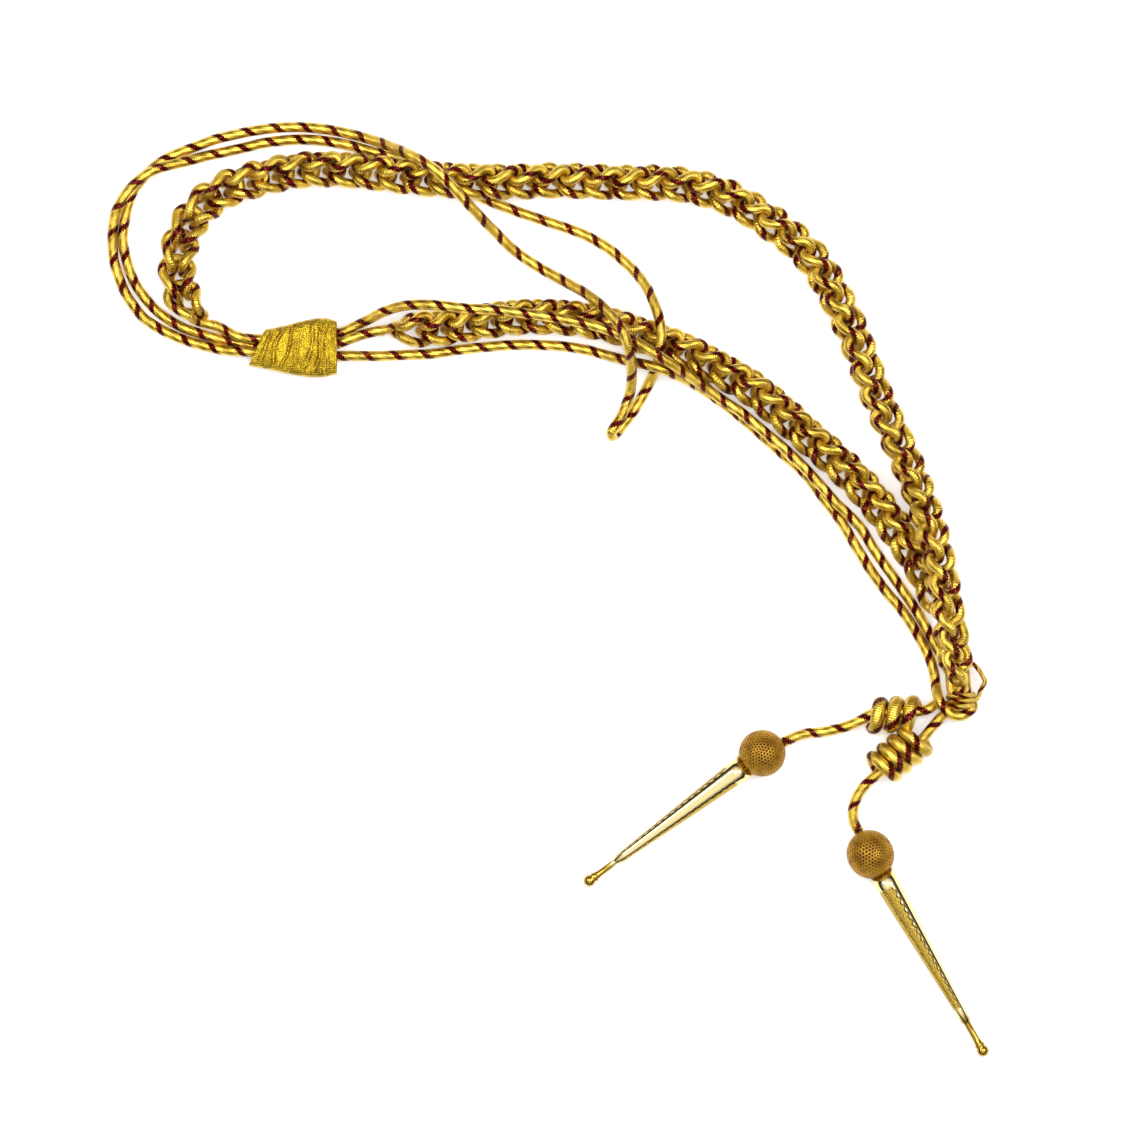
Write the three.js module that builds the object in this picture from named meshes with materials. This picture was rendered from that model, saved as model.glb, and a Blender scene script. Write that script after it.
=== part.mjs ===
// An aiguillette lying flat, seen from straight above. Its two plaits are each one gilt cord worked as a
// chain of loops. A cord laid double makes the shoulder loop, and two more plain cords follow the short
// plait. A strip of lace holds everything together at the left. A lashing gathers the plaits and cords at
// the lower right, where two short cords leave it, each through a barrel knot to a ball with a gilt tag.
//
// Millimetres, +X to the right, +Y away from the viewer's feet, +Z up, with the table at Z = 0.

import * as THREE from "three";

// Cords
const CORD_DIAMETER = 5.24;
const CORD_SIDES = 8;
const PLAIT_CORD_DIAMETER = 4.4; // the same cord where the stitches squeeze it
const PLAIT_CORD_SIDES = 5;
const EYE_CORD_DIAMETER = 2.3;
const EYE_CORD_SIDES = 8;

// Plaits. A stitch is measured in a unit of its own: a thicker cord makes a longer, wider, deeper stitch.
const STITCH_SLACK = 0.2;
const STITCH_UNIT = PLAIT_CORD_DIAMETER + STITCH_SLACK;

// Knots and lashing: a cord wound round what passes through it
const COIL_STEPS_PER_TURN = 12;
const COIL_SIDES = 6;
const KNOT_SIDE_RADIUS = 6.25;
const KNOT_UP_RADIUS = 5.6;
const UPPER_KNOT_PITCH = 8;
const LOWER_KNOT_PITCH = 7;
const LASHING_RADIUS = 5;
const LASHING_PITCH = 5.6;
const GATHER_CORE_RADIUS = 2;

// Tags: a net-covered ball, a hollow-ended taper cupped on it, a plain neck and an acorn at the tip
const LEFT_BALL_RADIUS = 11.7;
const RIGHT_BALL_RADIUS = 11.75;
const RIGHT_BALL_LONG_RADIUS = 12.35;
const BALL_SEGMENTS = 14;
const BALL_RINGS = 9;
const LEFT_TAG_REACH = 107.6; // from the ball's centre to the acorn's
const RIGHT_TAG_REACH = 113.6;
const TAG_SIDES = 12;
const TAPER_ROOT_RADIUS = 6.1;
const TAPER_TIP_RADIUS = 2.25;
const NECK_RADIUS = 1.65;
const NECK_LENGTH = 14;
const ACORN_RADIUS = 3;

// Lace band: a flattened sleeve round the cords
const BAND_LENGTH = 39.9; // along its middle
const BAND_SLANT = 12.8; // how much further left its lower edge would reach at its full width
const BAND_WIDTH = 28;
const BAND_HEIGHT = 12.6;
const BAND_WALL = 1;
const BAND_POINTS = 24;
const BAND_SQUARENESS = 4; // 2 is an ellipse, more is squarer

const CLEARANCE = 0.3; // between pieces that touch
const TABLE_CLEARANCE = 0.05;

const cordGilt = new THREE.MeshStandardMaterial({
  name: "gilt cord",
  color: 0xb9962f,
  roughness: 0.42,
  metalness: 0.65,
});
const laceGilt = new THREE.MeshStandardMaterial({
  name: "gold lace",
  color: 0xd9b53a,
  roughness: 0.35,
  metalness: 0.8,
});
const netGilt = new THREE.MeshStandardMaterial({
  name: "net-covered ball",
  color: 0x9c6c1c,
  roughness: 0.5,
  metalness: 0.6,
});
const tagGilt = new THREE.MeshStandardMaterial({
  name: "polished gilt",
  color: 0xd8b460,
  roughness: 0.12,
  metalness: 1,
});

// One stitch of a plait, in stitch units: along the plait, across it and up from its middle. Each loop
// comes up through the one before, spreads into the two arms of a V and goes back down at the far end.
const STITCH_ARM = [
  { along: 0, across: -0.58, up: 0.05 },
  { along: 1.15, across: -1.0, up: 1.15 },
  { along: 3.0, across: -1.77, up: -0.12 },
  { along: 3.9, across: -1.1, up: -0.4 },
];
const STITCH_BACK = [
  { along: -0.28, across: 0.72, up: -1.2 },
  { along: 1.55, across: 0.05, up: -1.68 },
];
const STITCH_PITCH = 2.78;
const LOOSE_END = 0.45; // how much of a pitch the last loop reaches past its stitch

// How each plait's cord comes in before the first stitch, in the same units
const LONG_PLAIT_LEAD = [
  { along: -2.0, across: 0.6, up: -0.95 },
  { along: -0.7, across: -0.25, up: -0.95 },
];
const SHORT_PLAIT_LEAD = [
  { along: -1.9, across: 0.2, up: -0.6 },
  { along: -0.8, across: 0, up: -0.55 },
];

// Routes: X, Y, Z of points on a centreline, and for a plait also its roll in degrees about that line
const LONG_PLAIT_ROUTE = [
  [-176, 137, 9.9, 0], [-181.5, 143, 9.9, 0], [-185.5, 153.5, 9.9, 0], [-186, 165.5, 9.9, 0],
  [-183, 177.5, 9.9, 0], [-176, 189.5, 9.9, 5], [-164, 199, 9.9, 10], [-144, 206, 9.9, 18],
  [-122.5, 210, 10, 25], [-102.5, 210, 10.6, 30], [-82.5, 208, 13.4, 30], [-70, 206.5, 15.2, 30],
  [-55, 205, 15.6, 30], [-30, 204, 15.4, 35], [-15, 204, 12.5, 35], [0, 204.5, 10, 40],
  [35, 203.5, 9.9, 40], [65, 202.5, 9.9, 40], [87.5, 196.5, 9.9, 45], [109, 184, 9.9, 50],
  [130, 166, 10.2, 60], [144, 142.5, 10.6, 70], [153, 122, 10.8, 75], [162.5, 96.5, 10.8, 80],
  [173, 73.5, 10.8, 80], [178.5, 61, 12.2, 80], [184, 47, 17, 80], [188, 35, 22, 80],
  [191.5, 22, 26, 80], [194.5, 7.5, 27.6, 80], [197, -7.5, 27.4, 80], [199, -20, 23, 75],
  [201, -32.5, 18, 70], [202.5, -46, 13, 60],
];
const SHORT_PLAIT_ROUTE = [
  [-76, 130, 9.7, 20], [-65, 130.5, 9.7, 25], [-50, 131.5, 9.7, 30], [-32.5, 134.5, 9.7, 30],
  [-15, 136.5, 9.7, 30], [10, 136, 9.7, 30], [30, 132.5, 9.7, 30], [45, 127.5, 9.7, 30],
  [66.5, 120, 9.7, 30], [83.5, 111, 9.7, 30], [100, 101.5, 9.7, 35], [115.5, 89, 9.7, 35],
  [131, 75, 9.7, 35], [143, 64.5, 9.7, 40], [156, 51.5, 9.7, 40], [167.5, 37.5, 9.7, 40],
  [178, 23, 9.7, 40], [186, 10.5, 9.7, 40], [192, -1.5, 9.7, 40], [195, -10.5, 9.7, 40],
];
const SHOULDER_LOOP_ROUTE = [
  [-128.5, 116.2, 6.5], [-142, 117.8, 7.7], [-149, 118.9, 8.1], [-155, 119.3, 6.9],
  [-162.9, 119.9, 5.5], [-176.8, 123.2, 4.5], [-188, 127.1, 3.7],
  [-202.5, 135.5, 2.7], [-208, 142, 2.7], [-212.5, 149, 2.7], [-217.8, 164, 2.7], [-218.6, 172, 2.7],
  [-218.5, 180, 3.4], [-217, 188.5, 5.8], [-214.5, 193.5, 7.6], [-211, 199, 8.5], [-204.5, 205.5, 8.6],
  [-199, 209.2, 8.6], [-193.5, 211.4, 7.9], [-184.4, 213.6, 6.4], [-170.6, 217.2, 3.1],
  [-155, 220.6, 2.7], [-142, 223.6, 2.7], [-125, 225.2, 2.7], [-112.4, 224.4, 2.7], [-100, 222.2, 2.7],
  [-90.6, 219.6, 2.7], [-78, 216.6, 2.7], [-69, 213, 2.7], [-60, 208.5, 2.7], [-35, 196.5, 2.7],
  [-20, 190.5, 2.7], [5, 182, 2.7], [15, 178.5, 2.7], [26.5, 172.5, 2.9], [34.5, 166.5, 4.6],
  [42.8, 158.5, 8.6], [48.2, 151.2, 13.6], [52, 143, 18.4], [54.6, 135, 20.8], [55.6, 127.5, 21],
  [55, 121, 20], [54, 115.5, 14.8], [52.6, 109.8, 8], [50, 104.2, 3.8], [46, 96.4, 2.7],
  [41.9, 89.6, 2.7], [37, 83.2, 2.7], [33.6, 78.9, 3.1], [31.3, 76.9, 5.6], [30.8, 78.6, 8.2],
  [32.4, 81.6, 9], [35.4, 86.2, 8.7], [38, 92.5, 8.4], [40, 98.8, 8.9], [40.8, 105.6, 13.8],
  [40.5, 113.4, 20.8], [39, 121.6, 28], [36.4, 128.8, 29], [32.6, 134.6, 28], [28, 139.6, 25.6],
  [23.5, 143.8, 21.6], [18, 148, 15.8], [10, 152.6, 9], [1, 157.6, 4.6], [-6, 161.5, 3],
  [-12.5, 165.8, 3.2], [-18, 169.8, 4.8], [-22.5, 174, 7.4], [-26.5, 178, 10.4], [-31, 182.4, 14.8],
  [-35.5, 187, 19.6], [-40.5, 192.3, 24.6], [-45.5, 198, 27.4], [-51, 203.8, 28.2], [-57.5, 209.8, 28],
  [-63, 213.4, 27], [-69, 216.8, 23.6], [-76.5, 220.2, 14.8], [-84.4, 223.4, 7.6], [-91.5, 225.7, 3.8],
  [-100, 228, 2.7], [-115, 230.7, 2.7], [-130, 231.4, 2.7], [-142.5, 230.4, 2.7], [-155, 228.2, 2.7],
  [-167.5, 225.2, 2.7], [-178.4, 221.2, 2.7], [-191, 216, 2.7], [-198.6, 210.8, 2.7],
  [-204.2, 204.8, 2.7], [-208.6, 198, 2.7], [-212.6, 181, 2.7], [-212.8, 173, 2.7], [-209, 158, 2.7],
  [-206, 151, 2.7], [-196.5, 139.5, 2.7], [-184, 131.4, 2.7], [-176.8, 128.8, 2.7],
  [-167.5, 126, 2.7], [-162.5, 124.8, 2.7], [-155, 123.4, 2.9], [-149.5, 122.3, 3.7],
  [-144, 121.9, 3.9], [-128.5, 121.8, 3.9],
];
const LONG_TAIL_ROUTE = [
  [-166.6, 131.95, 5.5], [-161.5, 129.4, 6.6], [-157, 127, 7.8], [-152, 125.7, 8.4],
  [-146, 125.3, 8.5], [-128.5, 126.2, 7.5],
];
const ARM_UPPER_ROUTE = [
  [-128, 127.5, 4.2], [-105, 128.5, 4.1], [-97, 132, 4.6], [-90, 135.5, 8], [-83, 139, 12.2],
  [-75, 141.5, 16.4], [-66, 142.5, 19.6], [-55, 142, 20.8], [-42, 140.5, 20.9], [-29.5, 140, 20.9],
  [-12.5, 138, 21.3], [4.5, 135.5, 21.2], [24, 131.4, 20.9], [35, 127.4, 21.2], [44, 123.2, 24.2],
  [51.5, 118.6, 26], [58.5, 114.2, 24.4], [65, 110.1, 20], [72, 105.3, 14.9], [78, 101, 10.8],
  [84.5, 96, 8.6], [96, 88.4, 8.2], [106, 80, 8.2], [117, 70.8, 8.2], [128.2, 60, 8.2],
  [137.6, 49.6, 8.2], [143, 43.4, 7.6], [148.2, 38.6, 6], [155, 31.6, 3.8], [162.6, 19.4, 2.9],
  [171, 7.4, 2.9], [179.4, -4.6, 2.9], [184.6, -12.6, 2.9], [188.2, -19, 2.9], [191.4, -25, 2.9],
  [194.4, -30.6, 2.9], [197.6, -36, 2.9], [200.4, -41.6, 2.8], [202.8, -47, 3.2],
];
const ARM_LOWER_ROUTE = [
  [-128, 116, 3.9], [-105, 117, 3.9], [-95, 117, 3], [-84.5, 117, 2.7], [-72.5, 117.5, 2.7],
  [-60, 118, 2.7], [-46, 120, 2.7], [-32, 121.5, 2.7], [-18.5, 122.5, 2.7], [-5, 122.5, 2.7],
  [9.5, 121.5, 2.7], [20, 119.6, 3], [28, 117.4, 4.6], [36, 115.2, 8.2], [43.5, 113.4, 13.4],
  [50, 112, 18.6], [56.3, 110.1, 19], [62.5, 107.6, 14.6], [68.8, 104.8, 9.2], [75, 101.2, 4.8],
  [81.3, 97, 2.9], [87.5, 92.6, 2.7], [94, 87.6, 2.7], [104.5, 78.6, 2.7], [115, 69.2, 2.7],
  [125.6, 60, 2.7], [129.4, 56, 2.7], [136.6, 46, 2.7], [144.8, 35.4, 2.7], [152.6, 22.4, 2.7],
  [161.6, 8, 2.7], [169.4, -2.4, 2.7], [175.4, -9.4, 2.7], [180, -16, 2.7], [183.6, -22, 2.7],
  [186.4, -27, 2.7], [188.6, -31.6, 2.7], [190.4, -36, 2.7], [191.6, -40, 2.7], [192.3, -44, 3.2],
  [192.8, -48, 4.8], [193.6, -52.2, 9], [195.1, -56.4, 11.6], [198, -60.2, 12], [201.8, -62.6, 11.6],
  [205.6, -62.8, 10.8], [208.9, -61, 9.8], [211.3, -58.3, 9],
];
const SHORT_TAIL_ROUTE = [
  [-128, 121.8, 8], [-107.5, 122.8, 7.8], [-100, 125.5, 7.4], [-93, 127.8, 7], [-85.3, 129.6, 6.75],
];
const TAG_CORD_LEFT_ROUTE = [
  [196.2, -55.6, 4.9], [192.4, -57.2, 5.3], [189, -59.4, 7.2], [184.5, -60.6, 8.2], [172.5, -61.2, 8.2],
  [161, -61.9, 8.2], [155, -65.2, 8], [148.5, -68, 7.2], [142, -69.8, 6.2], [135.5, -71, 5.8],
  [129, -71.5, 6.6], [123.5, -73, 8.4], [116.55, -76, 10.65],
];
const TAG_CORD_RIGHT_ROUTE = [
  [200.6, -60, 6], [195.6, -63.4, 6.1], [190.6, -69, 7.4], [186, -74.3, 8.4], [175.5, -82.6, 8.4],
  [165, -91, 8.4], [160.2, -94.8, 8], [156, -99.4, 6.8], [153, -104.4, 5.6], [151.5, -110, 5.2],
  [151.5, -114, 6.6], [152.5, -117.5, 8.6], [154.3, -120.5, 10.3],
];
const BUTTON_LOOP_ROUTE = [
  [204, -36.6, 8], [208.4, -36.2, 7.4], [211.6, -37.2, 6.4], [214.2, -39.8, 5.7], [216.2, -43, 5.5],
  [217.3, -46, 5.5], [216, -48.4, 5.7], [214.8, -50.8, 6.5], [214.2, -53, 7.9],
];

// Where the coils and tags stand
const UPPER_KNOT_AXIS = { start: [183.5, -60.6], end: [161.5, -61.8], height: 8.2 };
const LOWER_KNOT_AXIS = { start: [185.8, -74.3], end: [165, -91], height: 8.4 };
const LASHING_AXIS = { start: [205.2, -52.8], end: [205.2, -57.4], height: 7.6 };
const CORE_AXIS = { start: [205.2, -48.2], end: [205.2, -58.5], height: 7.6 };
const LEFT_BALL_PLACE = [106, -81.5];
const RIGHT_BALL_PLACE = [160, -132];
const LEFT_TAG_HEADING = [-86.5, -64];
const RIGHT_TAG_HEADING = [56.5, -98.5];
const BAND_RIGHT_END = -106.5;
const BAND_MIDDLE = 121.1;

const UP = new THREE.Vector3(0, 0, 1);

// A course that a solid follows: straight steps between listed points, with one section at each point
class Course extends THREE.Curve {
  constructor(points) {
    super();
    this.points = points;
  }
  getPoint(share, target = new THREE.Vector3()) {
    const place = share * (this.points.length - 1);
    const before = Math.min(Math.floor(place), this.points.length - 2);
    return target.lerpVectors(this.points[before], this.points[before + 1], place - before);
  }
  getPointAt(share, target) {
    return this.getPoint(share, target);
  }
  getTangent(share, target = new THREE.Vector3()) {
    const last = this.points.length - 1;
    const place = Math.round(share * last);
    const here = this.points[place];
    const arriving = new THREE.Vector3().subVectors(here, this.points[Math.max(place - 1, 0)]).normalize();
    const leaving = new THREE.Vector3().subVectors(this.points[Math.min(place + 1, last)], here).normalize();
    return target.addVectors(arriving, leaving).normalize();
  }
  getTangentAt(share, target) {
    return this.getTangent(share, target);
  }
}

function roundSection(diameter, sides) {
  const section = new THREE.Shape();
  section.absarc(0, 0, diameter / 2, 0, 2 * Math.PI, false);
  return new THREE.Shape(section.getSpacedPoints(sides).slice(0, sides));
}

function cordMesh(name, points, diameter, sides) {
  const geometry = new THREE.ExtrudeGeometry(roundSection(diameter, sides), {
    steps: points.length - 1,
    bevelEnabled: false,
    extrudePath: new Course(points),
  });
  return named(name, geometry, cordGilt);
}

function plainCord(name, route) {
  const points = route.map(([x, y, z]) => new THREE.Vector3(x, y, z));
  return cordMesh(name, points, CORD_DIAMETER, CORD_SIDES);
}

function named(name, geometry, material) {
  const mesh = new THREE.Mesh(geometry, material);
  mesh.name = name;
  return mesh;
}

// The place, and the two directions across and up, at a distance along a plait's route. A distance past
// either end carries straight on.
function plaitFrames(route) {
  const line = new THREE.CatmullRomCurve3(
    route.map(([x, y, z]) => new THREE.Vector3(x, y, z)),
    false,
    "centripetal",
  );
  line.arcLengthDivisions = 20 * route.length;
  const length = line.getLength();
  const frameAt = (distance) => {
    const reached = THREE.MathUtils.clamp(distance, 0, length);
    const t = line.getUtoTmapping(reached / length);
    const ahead = line.getTangent(t);
    const place = line.getPoint(t).addScaledVector(ahead, distance - reached);
    const row = t * (route.length - 1);
    const before = Math.min(Math.floor(row), route.length - 2);
    const rollHere = THREE.MathUtils.lerp(route[before][3], route[before + 1][3], row - before);
    const roll = THREE.MathUtils.degToRad(rollHere);
    const right = new THREE.Vector3().crossVectors(ahead, UP).normalize();
    const top = new THREE.Vector3().crossVectors(right, ahead);
    return {
      place,
      across: right.clone().multiplyScalar(Math.cos(roll)).addScaledVector(top, -Math.sin(roll)),
      up: right.clone().multiplyScalar(Math.sin(roll)).addScaledVector(top, Math.cos(roll)),
    };
  };
  return { length, frameAt };
}

// One cord worked as a chain of stitches along the route
function plait(name, route, lead) {
  const { length, frameAt } = plaitFrames(route);
  const stitches = Math.round(length / (STITCH_PITCH * STITCH_UNIT) - LOOSE_END);
  const pitch = length / (stitches + LOOSE_END);
  const otherArm = STITCH_ARM.map((step) => ({ ...step, across: -step.across })).reverse();
  const stitch = [...STITCH_ARM, ...otherArm, ...STITCH_BACK];
  const points = [];
  const lay = (steps, start) => {
    for (const step of steps) {
      const { place, across, up } = frameAt(start + (step.along / STITCH_PITCH) * pitch);
      place.addScaledVector(across, step.across * STITCH_UNIT);
      place.addScaledVector(up, step.up * STITCH_UNIT);
      points.push(place);
    }
  };
  lay(lead, 0);
  for (let index = 0; index < stitches; index++) lay(stitch, index * pitch);
  return cordMesh(name, points, PLAIT_CORD_DIAMETER, PLAIT_CORD_SIDES);
}

// A cord wound round an axis that lies level. Turn is 1 or -1, the hand of the winding, and the first
// point is so many turns past the side of the axis.
function coil(name, axis, sideRadius, upRadius, pitch, turn, firstTurn) {
  const start = new THREE.Vector3(...axis.start, axis.height);
  const end = new THREE.Vector3(...axis.end, axis.height);
  const length = start.distanceTo(end);
  const ahead = new THREE.Vector3().subVectors(end, start).normalize();
  const side = new THREE.Vector3().crossVectors(UP, ahead);
  const steps = Math.round((length / pitch) * COIL_STEPS_PER_TURN);
  const points = [];
  for (let step = 0; step <= steps; step++) {
    const distance = (step / steps) * length;
    const angle = turn * 2 * Math.PI * (distance / pitch + firstTurn);
    const point = start.clone().addScaledVector(ahead, distance);
    point.addScaledVector(side, sideRadius * Math.cos(angle));
    point.addScaledVector(UP, upRadius * Math.sin(angle));
    points.push(point);
  }
  return cordMesh(name, points, CORD_DIAMETER, COIL_SIDES);
}

// The bundle of cord ends inside the lashing
function gatherCore() {
  const start = new THREE.Vector3(...CORE_AXIS.start, CORE_AXIS.height);
  const end = new THREE.Vector3(...CORE_AXIS.end, CORE_AXIS.height);
  const geometry = new THREE.CapsuleGeometry(GATHER_CORE_RADIUS, start.distanceTo(end), 3, 10, 1);
  const mesh = named("gather_core", geometry, cordGilt);
  mesh.position.copy(start).lerp(end, 0.5);
  mesh.quaternion.setFromUnitVectors(new THREE.Vector3(0, 1, 0), end.sub(start).normalize());
  return mesh;
}

function buttonLoop() {
  const points = BUTTON_LOOP_ROUTE.map(([x, y, z]) => new THREE.Vector3(x, y, z));
  return cordMesh("button_loop", points, EYE_CORD_DIAMETER, EYE_CORD_SIDES);
}

// A ball whose long radius lies along its tag, and the tag that starts cupped on the ball
function ballAndTag(sideName, place, heading, ballRadius, ballLongRadius, reach) {
  const middle = new THREE.Vector3(...place, ballRadius + TABLE_CLEARANCE);
  const drop = ACORN_RADIUS + TABLE_CLEARANCE - middle.z;
  const level = Math.sqrt(reach ** 2 - drop ** 2);
  const ahead = new THREE.Vector3(...heading, 0).setLength(level);
  ahead.z = drop;
  ahead.normalize();
  const turned = new THREE.Quaternion().setFromUnitVectors(new THREE.Vector3(0, 1, 0), ahead);

  const ballGeometry = new THREE.SphereGeometry(ballRadius, BALL_SEGMENTS, BALL_RINGS);
  ballGeometry.scale(1, ballLongRadius / ballRadius, 1);
  const ball = named("tag_ball_" + sideName, ballGeometry, netGilt);
  const profile = tagProfile(ballRadius, ballLongRadius, reach);
  const tag = named("tag_spike_" + sideName, new THREE.LatheGeometry(profile, TAG_SIDES), tagGilt);
  for (const mesh of [ball, tag]) {
    mesh.position.copy(middle);
    mesh.quaternion.copy(turned);
  }
  return [ball, tag];
}

// The tag's outline as [radius, distance from the ball's centre], from its cup to the acorn's tip
function tagProfile(ballRadius, ballLongRadius, reach) {
  const cupDepth = (radius) =>
    (ballLongRadius + CLEARANCE) * Math.sqrt(1 - (radius / (ballRadius + CLEARANCE)) ** 2);
  const neckEnd = reach - ACORN_RADIUS;
  const outline = [
    [0, cupDepth(0)],
    [TAPER_ROOT_RADIUS * 0.6, cupDepth(TAPER_ROOT_RADIUS * 0.6)],
    [TAPER_ROOT_RADIUS, cupDepth(TAPER_ROOT_RADIUS)],
    [TAPER_TIP_RADIUS, neckEnd - NECK_LENGTH],
    [NECK_RADIUS, neckEnd - NECK_LENGTH * 0.9],
    [NECK_RADIUS, neckEnd - NECK_LENGTH * 0.2],
    [NECK_RADIUS * 1.5, neckEnd],
    [ACORN_RADIUS * 0.8, neckEnd + 0.3],
    [ACORN_RADIUS, reach - ACORN_RADIUS * 0.2],
    [ACORN_RADIUS * 0.75, reach + ACORN_RADIUS * 0.6],
    [0, reach + ACORN_RADIUS],
  ];
  return outline.map(([radius, distance]) => new THREE.Vector2(radius, distance));
}

// The lace band's creases, from left to right: its height and width there as shares of the band's own
const BAND_CREASES = [
  { along: 0, height: 0.99, width: 0.66 },
  { along: 0.13, height: 1.06, width: 0.73 },
  { along: 0.27, height: 0.99, width: 0.81 },
  { along: 0.42, height: 1.07, width: 0.92 },
  { along: 0.55, height: 1, width: 1 },
  { along: 0.7, height: 1.06, width: 1.07 },
  { along: 0.86, height: 0.99, width: 1.07 },
  { along: 1, height: 1.05, width: 0.96 },
];

// A flattened sleeve: rings of points outside from left to right, then inside from right to left
function laceBand() {
  const positions = [];
  const ring = (crease, inset) => {
    const halfWidth = (BAND_WIDTH * crease.width) / 2 - inset;
    const halfHeight = (BAND_HEIGHT * crease.height) / 2 - inset;
    for (let point = 0; point < BAND_POINTS; point++) {
      const angle = (2 * Math.PI * point) / BAND_POINTS;
      const square = (value) => Math.sign(value) * Math.abs(value) ** (2 / BAND_SQUARENESS);
      const y = halfWidth * square(Math.cos(angle));
      const z = halfHeight * square(Math.sin(angle)) + halfHeight + inset;
      const slanted = BAND_LENGTH - (BAND_SLANT * y) / BAND_WIDTH;
      positions.push(BAND_RIGHT_END - slanted * (1 - crease.along), BAND_MIDDLE + y, z);
    }
  };
  for (const crease of BAND_CREASES) ring(crease, 0);
  for (const crease of [...BAND_CREASES].reverse()) ring(crease, BAND_WALL);
  const rings = 2 * BAND_CREASES.length;
  const faces = [];
  for (let row = 0; row < rings; row++) {
    const nextRow = (row + 1) % rings;
    for (let point = 0; point < BAND_POINTS; point++) {
      const nextPoint = (point + 1) % BAND_POINTS;
      const corner = (r, p) => r * BAND_POINTS + p;
      faces.push(corner(row, point), corner(nextRow, nextPoint), corner(nextRow, point));
      faces.push(corner(row, point), corner(row, nextPoint), corner(nextRow, nextPoint));
    }
  }
  const geometry = new THREE.BufferGeometry();
  geometry.setAttribute("position", new THREE.Float32BufferAttribute(positions, 3));
  geometry.setIndex(faces);
  geometry.computeVertexNormals();
  return named("lace_band", geometry, laceGilt);
}

const aiguillette = new THREE.Group();
aiguillette.name = "aiguillette";

aiguillette.add(
  plait("long_plait", LONG_PLAIT_ROUTE, LONG_PLAIT_LEAD),
  plait("short_plait", SHORT_PLAIT_ROUTE, SHORT_PLAIT_LEAD),
  plainCord("long_plait_tail", LONG_TAIL_ROUTE),
  plainCord("short_plait_tail", SHORT_TAIL_ROUTE),
  plainCord("shoulder_loop_cord", SHOULDER_LOOP_ROUTE),
  plainCord("arm_cord_upper", ARM_UPPER_ROUTE),
  plainCord("arm_cord_lower", ARM_LOWER_ROUTE),
  laceBand(),
);

aiguillette.add(
  gatherCore(),
  coil("gather_lashing", LASHING_AXIS, LASHING_RADIUS, LASHING_RADIUS, LASHING_PITCH, 1, 0),
  buttonLoop(),
  coil("knot_upper", UPPER_KNOT_AXIS, KNOT_SIDE_RADIUS, KNOT_UP_RADIUS, UPPER_KNOT_PITCH, -1, 0.25),
  coil("knot_lower", LOWER_KNOT_AXIS, KNOT_SIDE_RADIUS, KNOT_UP_RADIUS, LOWER_KNOT_PITCH, 1, -0.25),
  plainCord("tag_cord_left", TAG_CORD_LEFT_ROUTE),
  plainCord("tag_cord_right", TAG_CORD_RIGHT_ROUTE),
);

aiguillette.add(
  ...ballAndTag(
    "left",
    LEFT_BALL_PLACE,
    LEFT_TAG_HEADING,
    LEFT_BALL_RADIUS,
    LEFT_BALL_RADIUS,
    LEFT_TAG_REACH,
  ),
  ...ballAndTag(
    "right",
    RIGHT_BALL_PLACE,
    RIGHT_TAG_HEADING,
    RIGHT_BALL_RADIUS,
    RIGHT_BALL_LONG_RADIUS,
    RIGHT_TAG_REACH,
  ),
);

export default aiguillette;
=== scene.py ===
import math

import bmesh
import bpy
from bpy.props import FloatProperty, FloatVectorProperty, IntProperty, PointerProperty
from mathutils import Matrix, Vector, noise


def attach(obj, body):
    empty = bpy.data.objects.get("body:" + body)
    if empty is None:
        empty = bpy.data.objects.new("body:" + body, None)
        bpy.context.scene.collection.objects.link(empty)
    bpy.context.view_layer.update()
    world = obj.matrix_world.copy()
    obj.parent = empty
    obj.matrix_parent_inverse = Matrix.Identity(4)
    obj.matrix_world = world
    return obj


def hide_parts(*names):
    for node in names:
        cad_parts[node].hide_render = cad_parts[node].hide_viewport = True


bl_info = {
    "name": "Aiguillette",
    "version": (1, 0, 0),
    "blender": (4, 5, 0),
    "location": "View3D > Sidebar > Aiguillette",
    "description": "Dresses a dress aiguillette with gilt cord, plaits, lace, netted balls and tags",
    "category": "Object",
}

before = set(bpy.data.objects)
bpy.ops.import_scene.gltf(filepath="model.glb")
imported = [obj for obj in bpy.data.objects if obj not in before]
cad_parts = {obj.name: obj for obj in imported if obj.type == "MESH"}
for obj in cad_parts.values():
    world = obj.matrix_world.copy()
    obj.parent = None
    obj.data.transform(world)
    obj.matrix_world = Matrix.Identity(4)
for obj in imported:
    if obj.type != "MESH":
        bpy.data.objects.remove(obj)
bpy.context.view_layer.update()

# The picture is square and this wide on the table, and its middle lies here.
PICTURE_WIDTH = 0.564
PICTURE_MIDDLE = (0.007, 0.013)

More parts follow.
